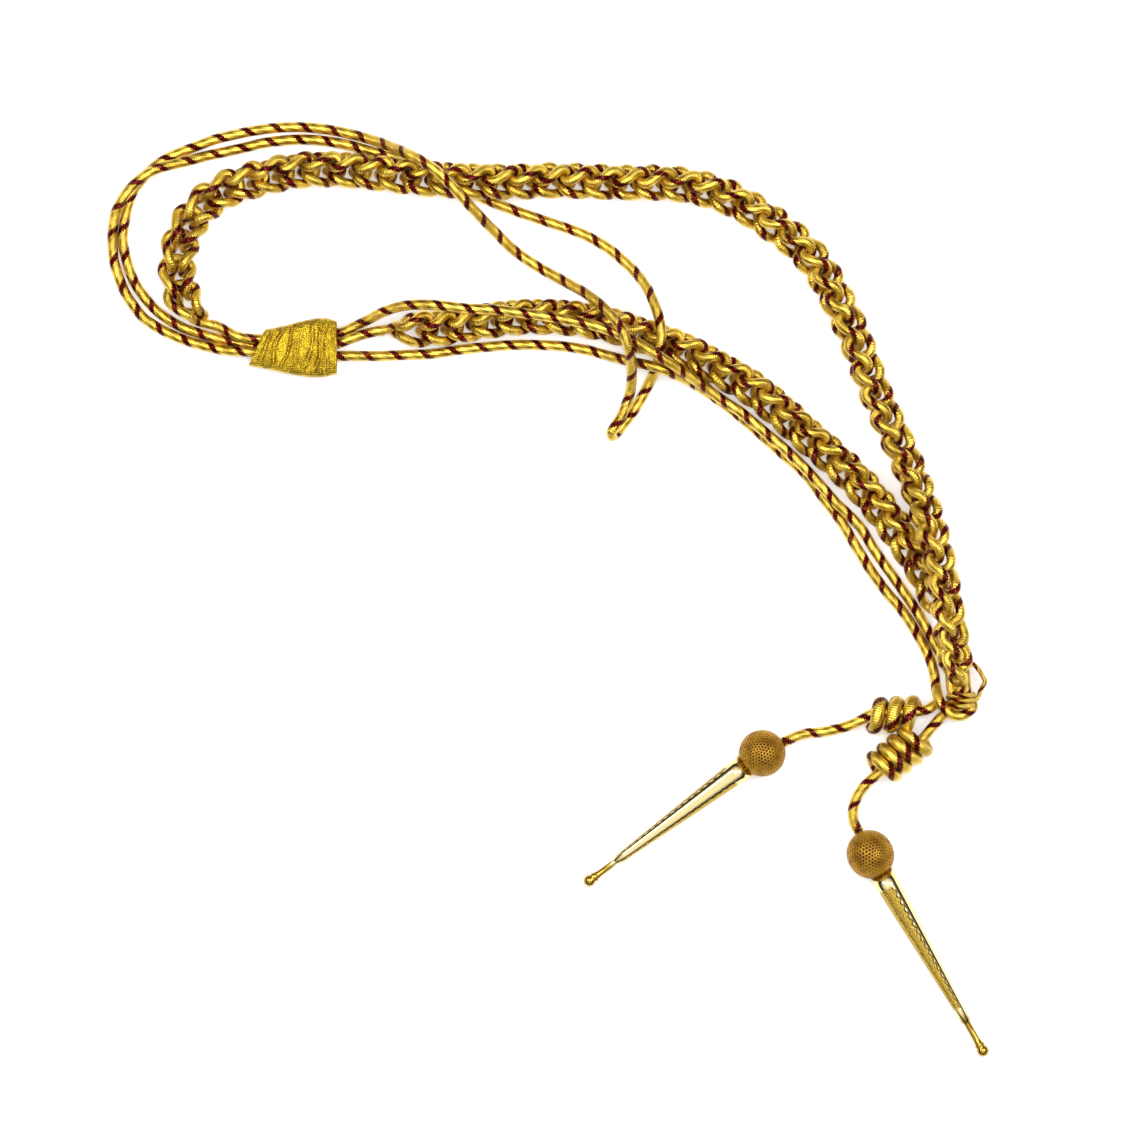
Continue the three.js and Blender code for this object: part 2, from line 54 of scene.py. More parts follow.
# Routes, close to those that the solids follow: X, Y, Z, and for a plait also its roll in degrees.
LONG_PLAIT = (
    (-0.176, 0.137, 0.0099, 0), (-0.1815, 0.143, 0.0099, 0), (-0.1855, 0.1535, 0.0099, 0),
    (-0.186, 0.1655, 0.0099, 0), (-0.183, 0.1775, 0.0099, 0), (-0.176, 0.1895, 0.0099, 5),
    (-0.164, 0.199, 0.0099, 10), (-0.144, 0.206, 0.0099, 18), (-0.1225, 0.21, 0.01, 25),
    (-0.1025, 0.21, 0.0106, 30), (-0.0825, 0.208, 0.0134, 30), (-0.07, 0.2065, 0.0152, 30),
    (-0.055, 0.205, 0.0156, 30), (-0.03, 0.204, 0.0154, 35), (-0.015, 0.204, 0.0125, 35),
    (0, 0.2045, 0.01, 40), (0.035, 0.2035, 0.0099, 40), (0.065, 0.2025, 0.0099, 40),
    (0.0875, 0.1965, 0.0099, 45), (0.109, 0.184, 0.0099, 50), (0.13, 0.166, 0.0102, 60),
    (0.144, 0.1425, 0.0106, 70), (0.153, 0.122, 0.0108, 75), (0.1625, 0.0965, 0.0108, 80),
    (0.173, 0.0735, 0.0108, 80), (0.1785, 0.061, 0.0122, 80), (0.184, 0.047, 0.017, 80),
    (0.188, 0.035, 0.022, 80), (0.1915, 0.022, 0.026, 80), (0.1945, 0.0075, 0.0276, 80),
    (0.197, -0.0075, 0.0274, 80), (0.199, -0.02, 0.023, 75), (0.201, -0.0325, 0.018, 70),
    (0.2025, -0.046, 0.013, 60),
)
SHORT_PLAIT = (
    (-0.076, 0.13, 0.0097, 20), (-0.065, 0.1305, 0.0097, 25), (-0.05, 0.1315, 0.0097, 30),
    (-0.0325, 0.1345, 0.0097, 30), (-0.015, 0.1365, 0.0097, 30), (0.01, 0.136, 0.0097, 30),
    (0.03, 0.1325, 0.0097, 30), (0.045, 0.1275, 0.0097, 30), (0.0665, 0.12, 0.0097, 30),
    (0.0835, 0.111, 0.0097, 30), (0.1, 0.1015, 0.0097, 35), (0.1155, 0.089, 0.0097, 35),
    (0.131, 0.075, 0.0097, 35), (0.143, 0.0645, 0.0097, 40), (0.156, 0.0515, 0.0097, 40),
    (0.1675, 0.0375, 0.0097, 40), (0.178, 0.023, 0.0097, 40), (0.186, 0.0105, 0.0097, 40),
    (0.192, -0.0015, 0.0097, 40), (0.195, -0.0105, 0.0097, 40),
)
SHOULDER_LOOP = (
    (-0.1285, 0.1162, 0.0065), (-0.142, 0.1178, 0.0077), (-0.149, 0.1189, 0.0081),
    (-0.155, 0.1193, 0.0069), (-0.1629, 0.1199, 0.0055), (-0.1768, 0.1232, 0.0045),
    (-0.188, 0.1271, 0.0037), (-0.2025, 0.1355, 0.0027), (-0.208, 0.142, 0.0027),
    (-0.2125, 0.149, 0.0027), (-0.2178, 0.164, 0.0027), (-0.2186, 0.172, 0.0027),
    (-0.2185, 0.18, 0.0034), (-0.217, 0.1885, 0.0058), (-0.2145, 0.1935, 0.0076),
    (-0.211, 0.199, 0.0085), (-0.2045, 0.2055, 0.0086), (-0.199, 0.2092, 0.0086),
    (-0.1935, 0.2114, 0.0079), (-0.1844, 0.2136, 0.0064), (-0.1706, 0.2172, 0.0031),
    (-0.155, 0.2206, 0.0027), (-0.142, 0.2236, 0.0027), (-0.125, 0.2252, 0.0027),
    (-0.1124, 0.2244, 0.0027), (-0.1, 0.2222, 0.0027), (-0.0906, 0.2196, 0.0027),
    (-0.078, 0.2166, 0.0027), (-0.069, 0.213, 0.0027), (-0.06, 0.2085, 0.0027),
    (-0.035, 0.1965, 0.0027), (-0.02, 0.1905, 0.0027), (0.005, 0.182, 0.0027), (0.015, 0.1785, 0.0027),
    (0.0265, 0.1725, 0.0029), (0.0345, 0.1665, 0.0046), (0.0428, 0.1585, 0.0086),
    (0.0482, 0.1512, 0.0136), (0.052, 0.143, 0.0184), (0.0546, 0.135, 0.0208), (0.0556, 0.1275, 0.021),
    (0.055, 0.121, 0.02), (0.054, 0.1155, 0.0148), (0.0526, 0.1098, 0.008), (0.05, 0.1042, 0.0038),
    (0.046, 0.0964, 0.0027), (0.0419, 0.0896, 0.0027), (0.037, 0.0832, 0.0027),
    (0.0336, 0.0789, 0.0031), (0.0313, 0.0769, 0.0056), (0.0308, 0.0786, 0.0082),
    (0.0324, 0.0816, 0.009), (0.0354, 0.0862, 0.0087), (0.038, 0.0925, 0.0084), (0.04, 0.0988, 0.0089),
    (0.0408, 0.1056, 0.0138), (0.0405, 0.1134, 0.0208), (0.039, 0.1216, 0.028),
    (0.0364, 0.1288, 0.029), (0.0326, 0.1346, 0.028), (0.028, 0.1396, 0.0256),
    (0.0235, 0.1438, 0.0216), (0.018, 0.148, 0.0158), (0.01, 0.1526, 0.009), (0.001, 0.1576, 0.0046),
    (-0.006, 0.1615, 0.003), (-0.0125, 0.1658, 0.0032), (-0.018, 0.1698, 0.0048),
    (-0.0225, 0.174, 0.0074), (-0.0265, 0.178, 0.0104), (-0.031, 0.1824, 0.0148),
    (-0.0355, 0.187, 0.0196), (-0.0405, 0.1923, 0.0246), (-0.0455, 0.198, 0.0274),
    (-0.051, 0.2038, 0.0282), (-0.0575, 0.2098, 0.028), (-0.063, 0.2134, 0.027),
    (-0.069, 0.2168, 0.0236), (-0.0765, 0.2202, 0.0148), (-0.0844, 0.2234, 0.0076),
    (-0.0915, 0.2257, 0.0038), (-0.1, 0.228, 0.0027), (-0.115, 0.2307, 0.0027),
    (-0.13, 0.2314, 0.0027), (-0.1425, 0.2304, 0.0027), (-0.155, 0.2282, 0.0027),
    (-0.1675, 0.2252, 0.0027), (-0.1784, 0.2212, 0.0027), (-0.191, 0.216, 0.0027),
    (-0.1986, 0.2108, 0.0027), (-0.2042, 0.2048, 0.0027), (-0.209, 0.198, 0.0027),
    (-0.2131, 0.181, 0.0027), (-0.2133, 0.173, 0.0027), (-0.2095, 0.158, 0.0027),
    (-0.206, 0.151, 0.0027), (-0.1965, 0.1395, 0.0027), (-0.184, 0.1314, 0.0027),
    (-0.1768, 0.1288, 0.0027), (-0.1675, 0.126, 0.0027), (-0.1625, 0.1248, 0.0027),
    (-0.155, 0.1234, 0.0029), (-0.1495, 0.1223, 0.0037), (-0.144, 0.1219, 0.0039),
    (-0.1285, 0.1218, 0.0039),
)
LONG_TAIL = (
    (-0.1688, 0.1327, 0.0049), (-0.1666, 0.13195, 0.0055), (-0.1615, 0.1294, 0.0066), (-0.157, 0.127, 0.0078),
    (-0.152, 0.1257, 0.0084), (-0.146, 0.1253, 0.0085), (-0.1285, 0.1262, 0.0075),
)
ARM_UPPER = (
    (-0.128, 0.1275, 0.0042), (-0.105, 0.1285, 0.0041), (-0.097, 0.132, 0.0046),
    (-0.09, 0.1355, 0.008), (-0.083, 0.139, 0.0122), (-0.075, 0.1415, 0.0164),
    (-0.066, 0.1425, 0.0196), (-0.055, 0.142, 0.0208), (-0.042, 0.1405, 0.0209),
    (-0.0295, 0.14, 0.0209), (-0.0125, 0.138, 0.0213), (0.0045, 0.1355, 0.0212),
    (0.024, 0.1314, 0.0209), (0.035, 0.1274, 0.0212), (0.044, 0.1232, 0.0242), (0.0515, 0.1186, 0.026),
    (0.0585, 0.1142, 0.0244), (0.065, 0.1101, 0.02), (0.072, 0.1053, 0.0149), (0.078, 0.101, 0.0108),
    (0.0845, 0.096, 0.0086), (0.096, 0.0884, 0.0082), (0.106, 0.08, 0.0082), (0.117, 0.0708, 0.0082),
    (0.1282, 0.06, 0.0082), (0.1376, 0.0496, 0.0082), (0.143, 0.0434, 0.0076), (0.1482, 0.0386, 0.006),
    (0.155, 0.0316, 0.0038), (0.1626, 0.0194, 0.0029), (0.171, 0.0074, 0.0029),
    (0.1794, -0.0046, 0.0029), (0.1846, -0.0126, 0.0029), (0.1882, -0.019, 0.0029),
    (0.1914, -0.025, 0.0029), (0.1944, -0.0306, 0.0029), (0.1976, -0.036, 0.0029),
    (0.2004, -0.0416, 0.0028), (0.2028, -0.047, 0.0032),
)
ARM_LOWER = (
    (-0.128, 0.116, 0.0039), (-0.105, 0.117, 0.0039), (-0.095, 0.117, 0.003), (-0.0845, 0.117, 0.0027),
    (-0.0725, 0.1175, 0.0027), (-0.06, 0.118, 0.0027), (-0.046, 0.12, 0.0027),
    (-0.032, 0.1215, 0.0027), (-0.0185, 0.1225, 0.0027), (-0.005, 0.1225, 0.0027),
    (0.0095, 0.1215, 0.0027), (0.02, 0.1196, 0.003), (0.028, 0.1174, 0.0046), (0.036, 0.1152, 0.0082),
    (0.0435, 0.1134, 0.0134), (0.05, 0.112, 0.0186), (0.0563, 0.1101, 0.019), (0.0625, 0.1076, 0.0146),
    (0.0688, 0.1048, 0.0092), (0.075, 0.1012, 0.0048), (0.0813, 0.097, 0.0029),
    (0.0875, 0.0926, 0.0027), (0.094, 0.0876, 0.0027), (0.1045, 0.0786, 0.0027),
    (0.115, 0.0692, 0.0027), (0.1256, 0.06, 0.0027), (0.1294, 0.056, 0.0027), (0.1366, 0.046, 0.0027),
    (0.1448, 0.0354, 0.0027), (0.1526, 0.0224, 0.0027), (0.1616, 0.008, 0.0027),
    (0.1694, -0.0024, 0.0027), (0.1754, -0.0094, 0.0027), (0.18, -0.016, 0.0027),
    (0.1836, -0.022, 0.0027), (0.1864, -0.027, 0.0027), (0.1886, -0.0316, 0.0027),
    (0.1904, -0.036, 0.0027), (0.1916, -0.04, 0.0027), (0.1923, -0.044, 0.0032),
    (0.1928, -0.048, 0.0048), (0.1936, -0.0522, 0.009), (0.1951, -0.0564, 0.0116),
    (0.198, -0.0602, 0.012), (0.2018, -0.0626, 0.0116), (0.2056, -0.0628, 0.0108),
    (0.2089, -0.061, 0.0098), (0.2113, -0.0583, 0.009),
)
SHORT_TAIL = (
    (-0.128, 0.1218, 0.008), (-0.1075, 0.1228, 0.0078), (-0.1, 0.1255, 0.0074),
    (-0.093, 0.1278, 0.007), (-0.0853, 0.1296, 0.00675), (-0.0828, 0.1297, 0.0068),
)
TAG_CORD_LEFT = (
    (0.1962, -0.0556, 0.0049), (0.1924, -0.0572, 0.0053), (0.189, -0.0594, 0.0072),
    (0.1845, -0.0606, 0.0082), (0.1725, -0.0612, 0.0082), (0.161, -0.0619, 0.0082),
    (0.155, -0.0652, 0.008), (0.1485, -0.068, 0.0072), (0.142, -0.0698, 0.0062),
    (0.1355, -0.071, 0.0058), (0.129, -0.0715, 0.0066), (0.1235, -0.073, 0.0084),
    (0.11655, -0.076, 0.01065),
)
TAG_CORD_RIGHT = (
    (0.2006, -0.06, 0.006), (0.1956, -0.0634, 0.0061), (0.1906, -0.069, 0.0074),
    (0.186, -0.0743, 0.0084), (0.1755, -0.0826, 0.0084), (0.165, -0.091, 0.0084),
    (0.1602, -0.0948, 0.008), (0.156, -0.0994, 0.0068), (0.153, -0.1044, 0.0056),
    (0.1515, -0.11, 0.0052), (0.1515, -0.114, 0.0066), (0.1525, -0.1175, 0.0086),
    (0.1543, -0.1205, 0.0103),
)
BUTTON_LOOP = (
    (0.204, -0.0366, 0.008), (0.2084, -0.0362, 0.0074), (0.2116, -0.0372, 0.0064),
    (0.2142, -0.0398, 0.0057), (0.2162, -0.043, 0.0055), (0.2173, -0.046, 0.0055),
    (0.216, -0.0484, 0.0057), (0.2148, -0.0508, 0.0065), (0.2142, -0.053, 0.0079),
)

# One stitch of a plait in stitch units: along the plait, across it and up from its middle. Each loop
# comes up through the one before, spreads into the two arms of a V and goes back down at the far end.
STITCH_ARM = (
    {"along": 0, "across": -0.54, "up": 0},
    {"along": 0.4, "across": -0.58, "up": 0.75},
    {"along": 1.0, "across": -0.8, "up": 1.05},
    {"along": 1.9, "across": -1.25, "up": 0.75},
    {"along": 2.7, "across": -1.62, "up": 0.1},
    {"along": 3.4, "across": -1.42, "up": -0.2},
    {"along": 3.95, "across": -0.55, "up": -0.2},
)
STITCH_BACK = (
    {"along": -0.4, "across": 0.6, "up": -0.7},
    {"along": -0.1, "across": 0.55, "up": -1.25},
    {"along": 0.35, "across": 0.2, "up": -1.45},
    {"along": 0.85, "across": -0.35, "up": -1.45},
    {"along": 1.45, "across": -0.8, "up": -1.4},
    {"along": 2.05, "across": -0.82, "up": -1.2},
    {"along": 2.45, "across": -0.62, "up": -0.7},
)
LONG_PLAIT_LEAD = ({"along": -2.0, "across": 0.6, "up": -0.95}, {"along": -0.7, "across": -0.25, "up": -0.95})
SHORT_PLAIT_LEAD = ({"along": -1.9, "across": 0.2, "up": -0.6}, {"along": -0.8, "across": 0, "up": -0.55})
STITCH_UNIT = 0.0046
STITCH_PITCH = 2.78
LOOSE_END = 0.45

UP = Vector((0, 0, 1))
MERGE_DISTANCE = 1e-7
# Steps of a cord's line from each point of its route to the next
CORD_STEPS = 8
PLAIT_STEPS = 4
STRAND_STEPS = 6


class CordSizes(bpy.types.PropertyGroup):
    diameter: FloatProperty(
        name="Cord diameter", description="Across a plain cord", default=0.00524, unit="LENGTH"
    )
    plait_diameter: FloatProperty(
        name="Plaited cord diameter",
        description="Across the cord where the stitches squeeze it",
        default=0.0049,
        unit="LENGTH",
    )
    eye_diameter: FloatProperty(
        name="Eye cord diameter", description="Across the thin cord eye", default=0.0023, unit="LENGTH"
    )
    sides: IntProperty(name="Sides", description="Faces round a cord", default=12, min=6)


class CordLooks(bpy.types.PropertyGroup):
    gold: FloatVectorProperty(
        name="Gold", description="Gilt thread", default=(0.94, 0.64, 0.085), subtype="COLOR"
    )
    dull_gold: FloatVectorProperty(
        name="Dull gold",
        description="Gilt thread where it is worn",
        default=(0.53, 0.33, 0.025),
        subtype="COLOR",
    )
    maroon: FloatVectorProperty(
        name="Maroon", description="Thread of the fleck", default=(0.12, 0.004, 0.005), subtype="COLOR"
    )
    fleck_pitch: FloatProperty(
        name="Fleck pitch", description="Along the cord from fleck to fleck", default=0.0143, unit="LENGTH"
    )
    fleck_width: FloatProperty(
        name="Fleck width", description="Along the cord across one fleck", default=0.0037, unit="LENGTH"
    )
    rib_pitch: FloatProperty(
        name="Rib pitch", description="From wire to wire of the covering", default=0.00095, unit="LENGTH"
    )


class StageSettings(bpy.types.PropertyGroup):
    camera_height: FloatProperty(
        name="Camera height", description="Camera over the table", default=10, unit="LENGTH"
    )
    floor_colour: FloatVectorProperty(
        name="Floor", description="Plain pale floor", default=(0.93, 0.93, 0.925), subtype="COLOR"
    )
    side_light: FloatProperty(
        name="Side lights", description="Power of the softboxes", default=9, unit="POWER"
    )
    top_light: FloatProperty(
        name="Top light", description="Power of the softbox straight above", default=14, unit="POWER"
    )
    floor_glow: FloatProperty(
        name="Floor glow", description="Light of the floor's own, which keeps shadows pale", default=0.3
    )
    zenith: FloatProperty(name="Zenith", description="Strength of the surroundings above", default=1.2)
    horizon: FloatProperty(name="Horizon", description="Strength of the surroundings below", default=0.03)


def sizes():
    return bpy.context.scene.aiguillette_cord


def looks():
    return bpy.context.scene.aiguillette_looks


def stage_settings():
    return bpy.context.scene.aiguillette_stage


# Lines


def smooth_line(points, steps):
    """Points of a centripetal Catmull-Rom curve through the given ones, so many to each stretch."""
    points = [Vector(point) for point in points]
    line = []
    for index in range(len(points) - 1):
        start, end = points[index], points[index + 1]
        before = points[index - 1] if index else 2 * start - end
        after = points[index + 2] if index + 2 < len(points) else 2 * end - start
        gap_in = (start - before).length ** 0.5
        gap = (end - start).length ** 0.5
        gap_out = (after - end).length ** 0.5
        leaving = ((start - before) / gap_in - (end - before) / (gap_in + gap) + (end - start) / gap) * gap
        arriving = ((end - start) / gap - (after - start) / (gap + gap_out) + (after - end) / gap_out) * gap
        for step in range(steps):
            t = step / steps
            line.append(
                (2 * t**3 - 3 * t**2 + 1) * start
                + (t**3 - 2 * t**2 + t) * leaving
                + (3 * t**2 - 2 * t**3) * end
                + (t**3 - t**2) * arriving
            )
    line.append(points[-1])
    return line


def distances(line):
    """How far each point is along the line."""
    travelled = [0.0]
    for before, here in zip(line, line[1:]):
        travelled.append(travelled[-1] + (here - before).length)
    return travelled


def headings(line):
    """The direction of the line at each point."""
    last = len(line) - 1
    return [(line[min(i + 1, last)] - line[max(i - 1, 0)]).normalized() for i in range(last + 1)]


def carried_normals(line):
    """A side direction at each point, carried along the line with no twist."""
    ways = headings(line)
    first = ways[0].orthogonal().normalized()
    normals = [first]
    for before, way in zip(ways, ways[1:]):
        turned = normals[-1].copy()
        turned.rotate(before.rotation_difference(way))
        normals.append((turned - way * turned.dot(way)).normalized())
    return normals


def at_distance(line, travelled, rolls, distance):
    """Place, direction and roll at a distance along a line. Past an end it carries straight on."""
    reached = min(max(distance, 0), travelled[-1])
    index = 0
    low, high = 0, len(line) - 2
    while low <= high:
        index = (low + high) // 2
        if travelled[index + 1] < reached:
            low = index + 1
        elif travelled[index] > reached:
            high = index - 1
        else:
            break
    share = (reached - travelled[index]) / (travelled[index + 1] - travelled[index])
    way = (line[index + 1] - line[index]).normalized()
    place = line[index].lerp(line[index + 1], share) + way * (distance - reached)
    return place, way, rolls[index] + (rolls[index + 1] - rolls[index]) * share


def plait_line(route, lead, steps):
    """The course of the one cord that is worked into a plait."""
    fine = 20
    middle = smooth_line([row[:3] for row in route], fine)
    rolls = []
    for row, following in zip(route, route[1:]):
        rolls += [math.radians(row[3] + (following[3] - row[3]) * step / fine) for step in range(fine)]
    rolls.append(math.radians(route[-1][3]))
    travelled = distances(middle)
    stitches = round(travelled[-1] / (STITCH_PITCH * STITCH_UNIT) - LOOSE_END)
    pitch = travelled[-1] / (stitches + LOOSE_END)
    other_arm = [{**step, "across": -step["across"]} for step in reversed(STITCH_ARM)]
    stitch = [*STITCH_ARM, *other_arm, *STITCH_BACK]
    rows = [(0, step) for step in lead]
    rows += [(index * pitch, step) for index in range(stitches) for step in stitch]
    points = []
    for start, step in rows:
        place, way, roll = at_distance(middle, travelled, rolls, start + step["along"] / STITCH_PITCH * pitch)
        right = way.cross(UP).normalized()
        top = right.cross(way)
        across = right * math.cos(roll) - top * math.sin(roll)
        up = right * math.sin(roll) + top * math.cos(roll)
        points.append(place + (across * step["across"] + up * step["up"]) * STITCH_UNIT)
    return smooth_line(points, steps)


# Meshes


def finish_mesh(name, mesh_work, materials, smooth=True):
    """Turns bmesh work into an object of the scene and gives it its materials."""
    mesh = bpy.data.meshes.new(name)
    mesh_work.to_mesh(mesh)
    mesh_work.free()
    if smooth:
        mesh.shade_smooth()
    piece = bpy.data.objects.new(name, mesh)
    bpy.context.scene.collection.objects.link(piece)
    for material in materials:
        mesh.materials.append(material)
    return piece


def dressed(piece, slot, *nodes):
    """Sets a piece on the body and hides the solids that it stands for. The slot argument is not used."""
    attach(piece, "root")
    if nodes:
        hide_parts(*nodes)
    return piece


def wrapped_tube(name, line, width, thickness, normals, sides, material):
    """A closed tube: a grid wrapped round the line. Its UV map holds metres along and share of a turn."""
    travelled = distances(line)
    ways = headings(line)
    last = len(line) - 1
    work = bmesh.new()
    bmesh.ops.create_grid(work, x_segments=last, y_segments=sides, size=0.5)
    uv = work.loops.layers.uv.new("UVMap")
    stations = {vertex: (round((vertex.co.x + 0.5) * last), vertex.co.y + 0.5) for vertex in work.verts}
    for face in work.faces:
        for loop in face.loops:
            station, turn = stations[loop.vert]
            loop[uv].uv = (travelled[station], turn)
    for vertex, (station, turn) in stations.items():
        angle = 2 * math.pi * turn
        normal = normals[station]
        side = ways[station].cross(normal)
        vertex.co = (
            line[station]
            + normal * (math.cos(angle) * thickness / 2)
            + side * (math.sin(angle) * width / 2)
        )
    bmesh.ops.remove_doubles(work, verts=work.verts, dist=MERGE_DISTANCE)
    bmesh.ops.holes_fill(work, edges=[edge for edge in work.edges if edge.is_boundary], sides=0)
    bmesh.ops.recalc_face_normals(work, faces=work.faces)
    return finish_mesh(name, work, [material])


def cord_tube(name, line, diameter, material):
    return wrapped_tube(name, line, diameter, diameter, carried_normals(line), sizes().sides, material)


# Materials


def new_material(name):
    """A material with only its shader and output, and its tree."""
    material = bpy.data.materials.new(name)
    material.use_nodes = True
    tree = material.node_tree
    shader = tree.nodes["Principled BSDF"]
    return material, tree, shader


def add_node(tree, kind, *inputs, **settings):
    """Adds a node, sets it, and feeds its inputs in order with values or other nodes' outputs."""
    made = tree.nodes.new(kind)
    for name, value in settings.items():
        setattr(made, name, value)
    for socket, value in zip(made.inputs, inputs):
        if isinstance(value, bpy.types.NodeSocket):
            tree.links.new(value, socket)
        elif value is not None:
            socket.default_value = value
    return made


def calculate(tree, operation, *inputs):
    return add_node(tree, "ShaderNodeMath", *inputs, operation=operation).outputs[0]


def wave(tree, value, length):
    """A sine from 0 to 1 of the value, once every length."""
    turned = calculate(tree, "MULTIPLY", value, 2 * math.pi / length)
    return calculate(tree, "MULTIPLY_ADD", calculate(tree, "SINE", turned), 0.5, 0.5)


def between(tree, value, low, high):
    """0 under low, 1 over high and smooth between."""
    made = add_node(tree, "ShaderNodeMapRange", value, low, high, 0.0, 1.0, interpolation_type="SMOOTHSTEP")
    return made.outputs[0]


def mixed_colour(tree, share, first, second):
    made = add_node(tree, "ShaderNodeMix", data_type="RGBA")
    for socket, value in ((made.inputs[0], share), (made.inputs[6], first), (made.inputs[7], second)):
        if isinstance(value, bpy.types.NodeSocket):
            tree.links.new(value, socket)
        elif socket.type == "RGBA":
            socket.default_value = (*value, 1)
        else:
            socket.default_value = value
    return made.outputs[2]


def noise_value(tree, vector, scale, detail=3):
    made = add_node(tree, "ShaderNodeTexNoise", vector)
    made.inputs["Scale"].default_value = scale
    made.inputs["Detail"].default_value = detail
    return made.outputs[0]


def bumped(tree, shader, height, distance, strength=1):
    made = add_node(tree, "ShaderNodeBump")
    made.inputs["Strength"].default_value = strength
    made.inputs["Distance"].default_value = distance
    tree.links.new(height, made.inputs["Height"])
    tree.links.new(made.outputs[0], shader.inputs["Normal"])


# The fleck climbs round the cord in so many steps, and the covering has so many strands, which make so
# many turns in a metre.
FLECK_STEPS = 16
STRANDS = 8
STRAND_TURNS = -18.0
# The glint colours of the gold and of the fleck are painted highlights: light colours put in random specks
# where light would glint.
PAINTED_GLINT_GOLD = (0.95, 0.72, 0.16)
FLECK_SHADE = (0.02, 0.002, 0.002)
PAINTED_FLECK_GLINT = (0.55, 0.16, 0.09)


def gimp_cord_material():
    """Cord covered with gilt wire wound close across it, with a maroon fleck that climbs round it."""
    look = looks()
    material, tree, shader = new_material("gilt gimp cord")
    place = add_node(tree, "ShaderNodeUVMap", uv_map="UVMap").outputs[0]
    apart = add_node(tree, "ShaderNodeSeparateXYZ", place)
    along, turn = apart.outputs[0], apart.outputs[1]
    stepped = calculate(tree, "SNAP", turn, 1 / FLECK_STEPS)
    climbed = calculate(tree, "SUBTRACT", calculate(tree, "DIVIDE", along, look.fleck_pitch), stepped)
    in_pitch = calculate(tree, "FRACT", climbed)
    from_fleck = calculate(tree, "ABSOLUTE", calculate(tree, "SUBTRACT", in_pitch, 0.5))
    half_width = look.fleck_width / look.fleck_pitch / 2
    off_fleck = between(tree, from_fleck, half_width * 0.88, half_width * 1.06)
    on_fleck = calculate(tree, "SUBTRACT", 1.0, off_fleck)
    threads = wave(tree, from_fleck, half_width * 0.4)
    slant = calculate(tree, "MULTIPLY_ADD", turn, look.rib_pitch, along)
    ribs = wave(tree, slant, look.rib_pitch)
    strands = wave(tree, calculate(tree, "MULTIPLY_ADD", along, STRAND_TURNS, turn), 1 / STRANDS)
    objects = add_node(tree, "ShaderNodeTexCoord").outputs["Object"]
    worn = between(tree, noise_value(tree, objects, 110), 0.35, 0.7)
    # Random specks painted lighter: painted highlights standing in for glints of light on the gold and on the
    # fleck.
    painted_glint = between(tree, noise_value(tree, objects, 700, 2), 0.5, 0.66)
    gold = mixed_colour(tree, worn, look.gold, look.dull_gold)
    gold = mixed_colour(tree, calculate(tree, "MULTIPLY", painted_glint, 0.45), gold, PAINTED_GLINT_GOLD)
    gold = mixed_colour(tree, calculate(tree, "MULTIPLY", ribs, 0.35), gold, look.dull_gold)
    red = mixed_colour(tree, calculate(tree, "MULTIPLY", threads, 0.6), look.maroon, FLECK_SHADE)
    red = mixed_colour(tree, calculate(tree, "MULTIPLY", painted_glint, 0.3), red, PAINTED_FLECK_GLINT)
    tree.links.new(mixed_colour(tree, on_fleck, gold, red), shader.inputs["Base Color"])
    shader.inputs["Metallic"].default_value = 1
    shader.inputs["Roughness"].default_value = 0.32
    coat = calculate(tree, "MULTIPLY", off_fleck, 0.3)
    tree.links.new(coat, shader.inputs["Coat Weight"])
    shader.inputs["Coat Roughness"].default_value = 0.16
    rib_height = calculate(tree, "MULTIPLY", ribs, off_fleck)
    thread_height = calculate(tree, "MULTIPLY", threads, on_fleck)
    fine = calculate(tree, "ADD", rib_height, thread_height)
    height = calculate(tree, "MULTIPLY_ADD", strands, 0.8, fine)
    bumped(tree, shader, height, 0.00014, 0.8)
    return material


BRIGHT_LACE = (0.6, 0.4, 0.02)
DULL_LACE = (0.36, 0.21, 0.008)
# Painted highlight colour for the tops of the weave.
PAINTED_LACE_GLINT = (0.8, 0.6, 0.08)
LACE_WEAVE_ACROSS = 0.0007
LACE_WEAVE_ALONG = 0.0009


def lace_material():
    """Flat gilt threads woven into a thin, bright, crumpled strip."""
    material, tree, shader = new_material("gold lace")
    objects = add_node(tree, "ShaderNodeTexCoord").outputs["Object"]
    apart = add_node(tree, "ShaderNodeSeparateXYZ", objects)
    across, along = apart.outputs[0], apart.outputs[1]
    warp, weft = wave(tree, across, LACE_WEAVE_ACROSS), wave(tree, along, LACE_WEAVE_ALONG)
    weave = calculate(tree, "MULTIPLY", warp, weft)
    patches = between(tree, noise_value(tree, objects, 160), 0.4, 0.62)
    colour = mixed_colour(tree, patches, BRIGHT_LACE, DULL_LACE)
    # Where warp and weft cross, the colour is painted lighter: a painted highlight.
    colour = mixed_colour(tree, calculate(tree, "MULTIPLY", weave, 0.4), colour, PAINTED_LACE_GLINT)
    tree.links.new(colour, shader.inputs["Base Color"])
    shader.inputs["Metallic"].default_value = 0.95
    shader.inputs["Roughness"].default_value = 0.22
    crumples = calculate(tree, "MULTIPLY", noise_value(tree, objects, 700, 4), 3.0)
    height = calculate(tree, "ADD", weave, crumples)
    bumped(tree, shader, height, 0.0002, 0.8)
    return material


NET_GOLD = (0.56, 0.31, 0.022)
NET_BROWN = (0.37, 0.17, 0.012)
CORE_DARK = (0.02, 0.006, 0.002)
CORE_BROWN = (0.12, 0.03, 0.008)


def net_material():
    """The gilt thread of the net over a ball."""
    material, tree, shader = new_material("gilt net thread")
    objects = add_node(tree, "ShaderNodeTexCoord").outputs["Object"]
    patches = between(tree, noise_value(tree, objects, 260), 0.35, 0.7)
    colour = mixed_colour(tree, patches, NET_GOLD, NET_BROWN)
    tree.links.new(colour, shader.inputs["Base Color"])
    shader.inputs["Metallic"].default_value = 0.7
    shader.inputs["Roughness"].default_value = 0.36
    bumped(tree, shader, noise_value(tree, objects, 2500, 3), 0.0002, 0.6)
    return material


